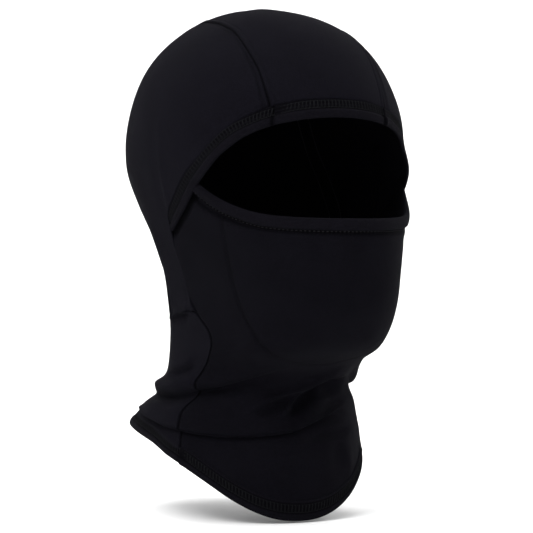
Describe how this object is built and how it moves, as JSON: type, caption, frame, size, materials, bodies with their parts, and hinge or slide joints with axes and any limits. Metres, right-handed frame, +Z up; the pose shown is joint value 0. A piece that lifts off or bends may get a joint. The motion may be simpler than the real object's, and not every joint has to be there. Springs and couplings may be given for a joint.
{
  "type": "hinged ski balaclava",
  "caption": "Close-fitting knitted hood that covers head, face and neck, with an eye opening under a stitched brow band and a mask that swings down under the chin.",
  "frame": {"origin": "middle of the wearer's head, level with the ears, on the plane that halves left and right", "axes": "the face looks along -Y, the wearer's left is +X, +Z is up toward the crown"},
  "size_m": [0.1653, 0.2251, 0.322],
  "materials": {
    "hood_knit": "matte brushed stretch knit, black",
    "front_knit": "matte stretch knit, black, slightly finer",
    "folded_knit": "matte knit folded double, black",
    "lining_knit": "matte mesh knit, black",
    "thread": "black polyester thread, slight sheen"
  },
  "bodies": {
    "hood": {"crown_back_panel": "hood_knit", "side_panel_left": "hood_knit", "side_panel_right": "hood_knit", "brow_hem": "folded_knit", "cheek_and_chin_panel": "front_knit", "neck_front_panel": "front_knit", "bottom_hem": "folded_knit", "side_seam_allowance_left": "folded_knit", "side_seam_allowance_right": "folded_knit", "crown_seam_allowance_left": "folded_knit", "crown_seam_allowance_right": "folded_knit", "crown_seam_stitching_left": "thread", "crown_seam_stitching_right": "thread", "brow_coverstitch": "thread", "bottom_coverstitch": "thread", "side_seam_stitching_left": "thread", "side_seam_stitching_right": "thread"},
    "mask": {"mask_panel": "front_knit", "mask_hem": "folded_knit", "mask_lining": "lining_knit", "mask_hem_stitching": "thread", "lining_stitching": "thread"}
  },
  "joints": [
    {"name": "mask_hinge", "type": "hinge", "parent": "hood", "child": "mask", "pos_m": [0, -0.015, 0.012], "axis": [1, 0, 0], "range_deg": [0, 36], "deforming": ["cheek_and_chin_panel", "mask_lining", "lining_stitching"]}
  ]
}
